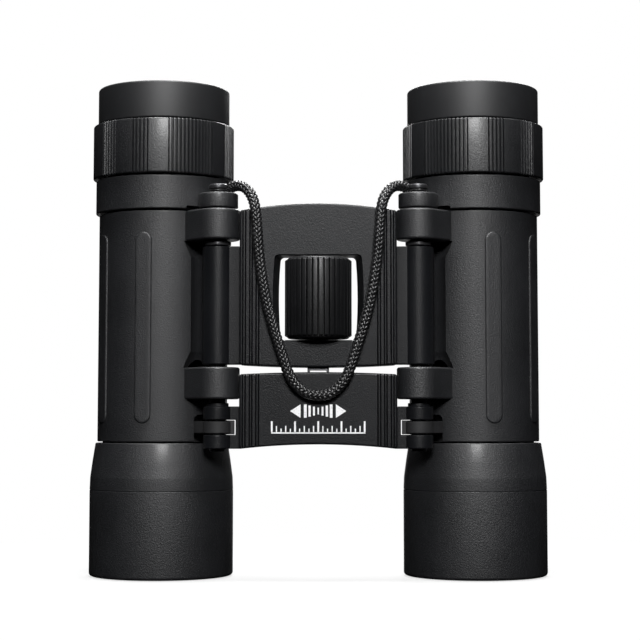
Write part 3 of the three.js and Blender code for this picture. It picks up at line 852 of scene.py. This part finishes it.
def gripShape(axis, side):
    # Groups of fine ribs between smooth fields.
    g = grip
    profile = rounded([
        (13.2, g["low"], 0.15), (g["radius"], g["low"], 0.4), (g["radius"], g["high"], 0.35), (13.6, g["high"], 0),
        (13.6, 106.5, 0.2), (12.0, 106.5, 0.2), (12.0, 101.6, 0), (13.2, 101.6, 0)], 5)

    def swell(r, z, angle):
        if r < 15.2:
            return 0
        azimuth = math.degrees(angle + math.pi / 2) * -side  # 0 at the front, growing towards the middle
        azimuth = (azimuth + 80) % 360 - 80
        for low, high in g["groups"]:
            if low <= azimuth <= high:
                share = ((azimuth - low) / g["pitch"]) % 1
                return -g["depth"] * max(0.0, min(1.0, (abs(share - 0.5) - g["land"][0]) / g["land"][1]))
        return 0
    return turned(profile, axis, 1440, swell)


def cellProfile():
    # The outside of the objective cell, then its threaded seat and its baffle grooves.
    c = cell
    points = [(c["bore"], c["high"]), (c["body"], c["high"]), (c["body"], 24.0), (c["wide"], 22.5),
              (c["wide"], 9.2),
              (13.4, c["low"]), (12.95, c["low"])]
    for k in range(5):
        points += [(12.95, 9.5 + k * 0.3), (12.8, 9.65 + k * 0.3)]
    points += [(12.9, 19.5), (c["bore"], 19.5)]
    for k in range(18):
        points += [(c["bore"], 20.2 + k * 0.9), (11.0, 20.6 + k * 0.9)]
    return points


def makeTube(word, side):
    axis, hinge, body = tubeAxis[word], hingeAxis[word], f"{word}_tube"

    def ringed(name, corners, steps, segments, look, body, node):
        place(f"{word}{name}", turned(rounded(corners, steps), axis, segments), look, body, f"{word}_{node}")

    def lens(name, kind, segments, body, node):
        place(f"{word}{name}", spun(lensProfile(*optics[kind]), axis, segments), "glass", body, f"{word}_{node}")

    t = tube
    spigotRadius, spigotLow = t["spigot"]
    piece = makeObject(f"{word}Tube", turned(rounded([
        (t["bore"], spigotLow, 0.1), (spigotRadius, spigotLow, 0.2), (spigotRadius, t["bottom"], 0),
        (t["radius"], t["bottom"], 0.25), (t["radius"], t["top"], 0.25), (t["bore"], t["top"], 0.1)], 4),
        axis, 256))
    half = slotBox["half"]
    slotVerts, slotFaces = slab(boxOutline(-half, half, t["bottom"] - 1.5, slotBox["top"], slotBox["corner"]),
                                *slotBox["reach"], hair)
    armSlot = [(x, y, max(z, t["bottom"] + 0.01)) for y, z, x in slotVerts], slotFaces
    work(piece, "DIFFERENCE", channelCutter(word), towardsHinge(word, armSlot))
    for low, high in lug["spans"]:
        work(piece, "UNION", slab(lugOutline(word), low, high, lug["edge"]))
    work(piece, "UNION", merged(*[padShape(axis, side, a) for a in pad["azimuths"]]))
    work(piece, "DIFFERENCE", rod(hinge, knuckle["bore"], 38, 84))
    settle(piece, "body", body, [f"{word}_tube"], 28, True)

    b = barrel
    r, seam = b["radius"], b["seam"]
    ringed("ObjectiveBarrel", [
        (b["bore"], 0.0, 0.5), (r, 0, 0.75), (r, seam - 0.11, 0.06), (r - 0.16, seam, 0.02),
        (r - 0.01, seam + 0.11, 0.06),
        (r - 0.12, 22.4, 6), (r - 0.62, 26.1, 8), (b["neck"], b["top"], 0.3), (b["bore"], b["top"], 0.1)],
        6, 256, "body", body, "objective_barrel")

    h = housing
    holder = makeObject(f"{word}EyepieceHousing", turned(rounded([
        (h["bore"], 76, 0.1), (h["tail"], 76, 0.1), (h["tail"], h["low"], 0), (h["radius"], h["low"], 0.3),
        (h["radius"], h["high"], 0.3), (h["neck"], h["high"], 0), (h["neck"], 101, 0.2), (h["bore"], 101, 0.1)], 5),
        axis, 256))
    notch = spun([(0, 81), (h["notch"], 81), (h["notch"], 86.1), (h["notch"] - 0.29, 86.7), (0, 86.7)], hinge, 128)
    work(holder, "DIFFERENCE", notch, slab(lugOutline(word, 0.35), 82, 83.55, 0.3))
    settle(holder, "body", body, [f"{word}_eyepiece_housing"], 28, True)

    # objective cell with its arm, two lenses and a slotted ring
    moving = f"{word}_objective"
    cellPiece = makeObject(f"{word}ObjectiveCell", turned(cellProfile(), axis, 144))
    arm = box((11.7, 19.6), (-2.2, 2.2), cell["arm"], 0.25)
    tongue = box((hinge[0], hinge[0] - side * 3.82), (hinge[1] - 0.95, hinge[1] + 0.95), (32.2, 35.3), 0.1, 0.15)
    work(cellPiece, "UNION", towardsHinge(word, arm), rod(hinge, cell["boss"], *cell["arm"], 0.25, 72), tongue)
    work(cellPiece, "DIFFERENCE", rod(hinge, knuckle["bore"], 31, 37))
    settle(cellPiece, "cell", moving, [f"{word}_objective_cell"], 28, True)
    lens("ObjectiveCrown", "crown", 128, moving, "objective_crown")
    lens("ObjectiveFlint", "flint", 96, moving, "objective_flint")
    ringPiece = makeObject(f"{word}ObjectiveRing", turned(rounded([
        (11.6, 11.0, 0.3), (12.6, 11.0, 0.1), (12.6, 13.0, 0.1), (11.6, 13.0, 0.1)], 3), axis, 128))
    work(ringPiece, "DIFFERENCE", merged(*[
        box((axis[0] + s * 12.1 - 0.8, axis[0] + s * 12.1 + 0.8), (axis[1] - 0.5, axis[1] + 0.5),
            (10, 11.7), hair, 0.1) for s in (-1, 1)]))
    settle(ringPiece, "cell", moving, [f"{word}_objective_ring"])

    # eyepiece cell, which slides on the right side only
    eye = "right_eyepiece" if side > 0 else body
    ringed("EyepieceCell", [(8.6, 84, 0.1), (11.3, 84, 0.3), (11.3, 103.4, 0.35), (9.4, 103.4, 0.3), (9.4, 98.4, 0),
                            (8.6, 98.4, 0.1)], 4, 144, "cell", eye, "eyepiece_cell")
    lens("FieldLens", "field", 72, eye, "field_lens")
    ringed("FieldLensRing", [(7.4, 84.6, 0.1), (8.3, 84.6, 0.1), (8.3, 86.8, 0.1), (7.4, 86.8, 0.1)], 3, 72,
           "cell", eye, "field_lens_ring")
    lens("EyeLens", "eye", 128, eye, "eye_lens")
    ringed("EyeLensRing", [(8.3, 101.4, 0.1), (9.1, 101.4, 0.1), (9.1, 103.2, 0.15), (8.3, 103.2, 0.5)], 4, 128,
           "cell", eye, "eye_lens_ring")

    # grip ring and eyecup
    carrier = "diopter_ring" if side > 0 else body
    place(f"{word}GripRing", gripShape(axis, side), "grip", carrier, f"{word}_grip_ring", sharp=34)
    ringed("Eyecup", [(13.9, cup["low"], 0.1), (cup["radius"], cup["low"], 0.35), (cup["radius"], cup["high"], 0.5),
                      (13.2, cup["high"], 0.7), (12.9, 106.8, 0.3), (13.9, 106.8, 0.1)], 8, 256,
           "rubber", carrier, "eyecup")


for word, side in sides.items():
    makeTube(word, side)
    print(word, "tube made")

# Prisms and cages keep their own shapes inside the tubes.
prismGlass = coatedGlass("prismGlass", (0.9, 0.94, 0.95), (0.7, 0.8, 0.9))
for word in sides:
    for node, material in (("prism_cage", looks["cell"]), ("prism_1", prismGlass), ("prism_2", prismGlass)):
        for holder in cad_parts[f"{word}_{node}"].material_slots:
            holder.material = material


# ---- room and light

room = {
    "wall": 0.965, "dark": 0.003, "bright": 1.0,  # how far round the bright wall reaches, and both strengths
    "glow": 0.73, "paper": (0.125, 0.135), "edge": (0.06, 0.14), "reach": 3, "drop": 0.0002,
    "lights": {  # place, aim, size and power
        "key": ((0.02, -0.6, 0.34), (0, 0, 0.06), (0.2, 0.16), 5.2),
        "top": ((0, -0.06, 0.6), (0, 0, 0.06), (0.3, 0.16), 7.0),
        "back": ((0.06, 0.5, 0.42), (0, 0, 0.06), (0.3, 0.2), 5.0),
    },
}


def stageFloor():
    # Pale paper that glows far out and takes a soft shadow near the object.
    look = Look("paleFloor")
    glow = look.node("ShaderNodeEmission", {}, {"Color": (1, 1, 1, 1), "Strength": room["glow"]})
    tone = look.blend(look.noise(30, 2), *[(grey, grey, grey) for grey in room["paper"]])
    paper = look.node("ShaderNodeBsdfDiffuse", {}, {"Color": tone})
    near = look.node("ShaderNodeAddShader", {}, {0: glow, 1: paper})
    far = look.node("ShaderNodeEmission", {}, {"Color": (1, 1, 1, 1), "Strength": 1.0})
    distance = look.node("ShaderNodeVectorMath", {"operation": "LENGTH"}, {0: look.place()}, "Value")
    both = look.node("ShaderNodeMixShader", {}, {0: look.span(distance, *room["edge"]), 1: near, 2: far})
    look.node("ShaderNodeOutputMaterial", {}, {"Surface": both})
    mesh = bpy.data.meshes.new("floor")
    r = room["reach"]
    mesh.from_pydata([(-r, -r, 0), (r, -r, 0), (r, r, 0), (-r, r, 0)], [], [(0, 1, 2, 3)])
    mesh.materials.append(look.material)
    floor = bpy.data.objects.new("floor", mesh)
    floor.location.z = -room["drop"]
    floor.visible_glossy = False
    floor.visible_diffuse = False
    bpy.context.collection.objects.link(floor)


def areaLight(name, location, aim, size, power):
    data = bpy.data.lights.new(name, "AREA")
    data.shape = "RECTANGLE"
    data.size, data.size_y = size
    data.energy = power
    lamp = bpy.data.objects.new(name, data)
    lamp.location = location
    lamp.rotation_euler = (Vector(aim) - Vector(location)).to_track_quat("-Z", "Y").to_euler()
    bpy.context.collection.objects.link(lamp)


def sky():
    # White to the eye, and for the object a bright wall behind it and a dark room in front.
    look = Look("studio", bpy.data.worlds.new("studio"))
    white = (1, 1, 1, 1)
    seen = look.node("ShaderNodeBackground", {}, {"Color": white, "Strength": 1.0})
    around = look.node("ShaderNodeTexCoord", output="Generated")
    direction = look.node("ShaderNodeSeparateXYZ", {}, {0: around}, "Y")
    ramp = look.span(direction, room["wall"], 1.0, room["dark"], room["bright"])
    lit = look.node("ShaderNodeBackground", {}, {"Color": white, "Strength": ramp})
    eyeRay = look.node("ShaderNodeLightPath", output="Is Camera Ray")
    both = look.node("ShaderNodeMixShader", {}, {0: eyeRay, 1: lit, 2: seen})
    look.node("ShaderNodeOutputWorld", {}, {"Surface": both})
    bpy.context.scene.world = look.material


stageFloor()
sky()
for name, values in room["lights"].items():
    areaLight(name, *values)
bpy.context.scene.view_settings.view_transform = "Standard"
print("room lit")
